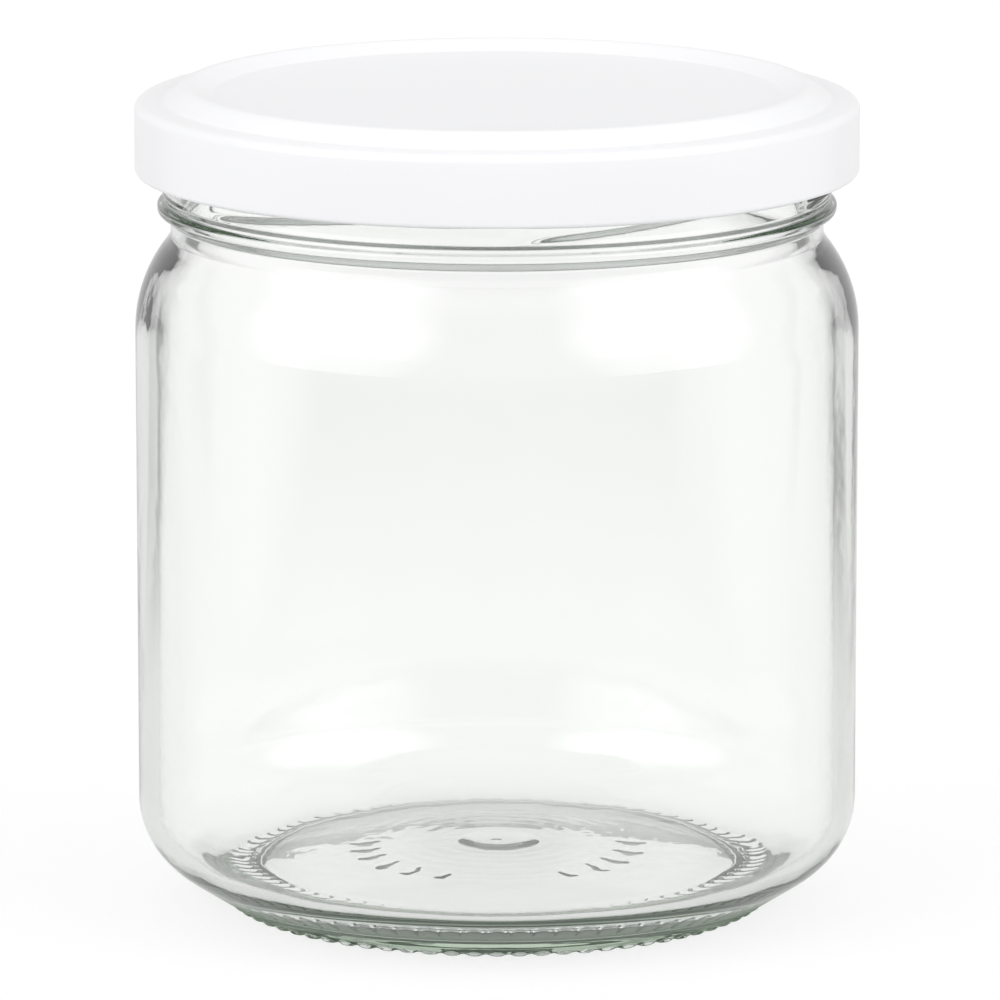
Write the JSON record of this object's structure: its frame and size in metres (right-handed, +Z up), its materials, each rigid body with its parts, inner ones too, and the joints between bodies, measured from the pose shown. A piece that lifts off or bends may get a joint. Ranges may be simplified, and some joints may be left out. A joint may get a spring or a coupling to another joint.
{
  "type": "preserving jar",
  "caption": "Wide-mouth clear glass preserving jar with a white pressed-metal twist-off lid and a sealing ring; stands on its knurled base.",
  "frame": {"origin": "centre of the base's bearing ring, on the surface that the jar stands on", "axes": "+Z up along the axis of the jar and its lid"},
  "size_m": [0.0856, 0.0856, 0.0979],
  "materials": {
    "glass": "clear flint glass with a faint green tint, smooth",
    "lid_lacquer": "white stoved lacquer on tinplate, satin gloss",
    "compound": "pale flowed-in sealing compound, matt"
  },
  "bodies": {
    "jar": {"glass_jar": "glass"},
    "seal": {"sealing_ring": "compound"},
    "closure": {"lid": "lid_lacquer"}
  },
  "joints": [
    {"name": "lid_lift", "type": "slide", "parent": "jar", "child": "seal", "axis": [0, 0, 1], "range_m": [0, 0.02]},
    {"name": "lid_turn", "type": "hinge", "parent": "seal", "child": "closure", "pos_m": [0, 0, 0.0966], "axis": [0, 0, 1], "range_deg": [0, 300]}
  ],
  "couplings": [
    {"joint": "lid_lift", "follows": "lid_turn", "m_per_rad": 0.0038197}
  ]
}
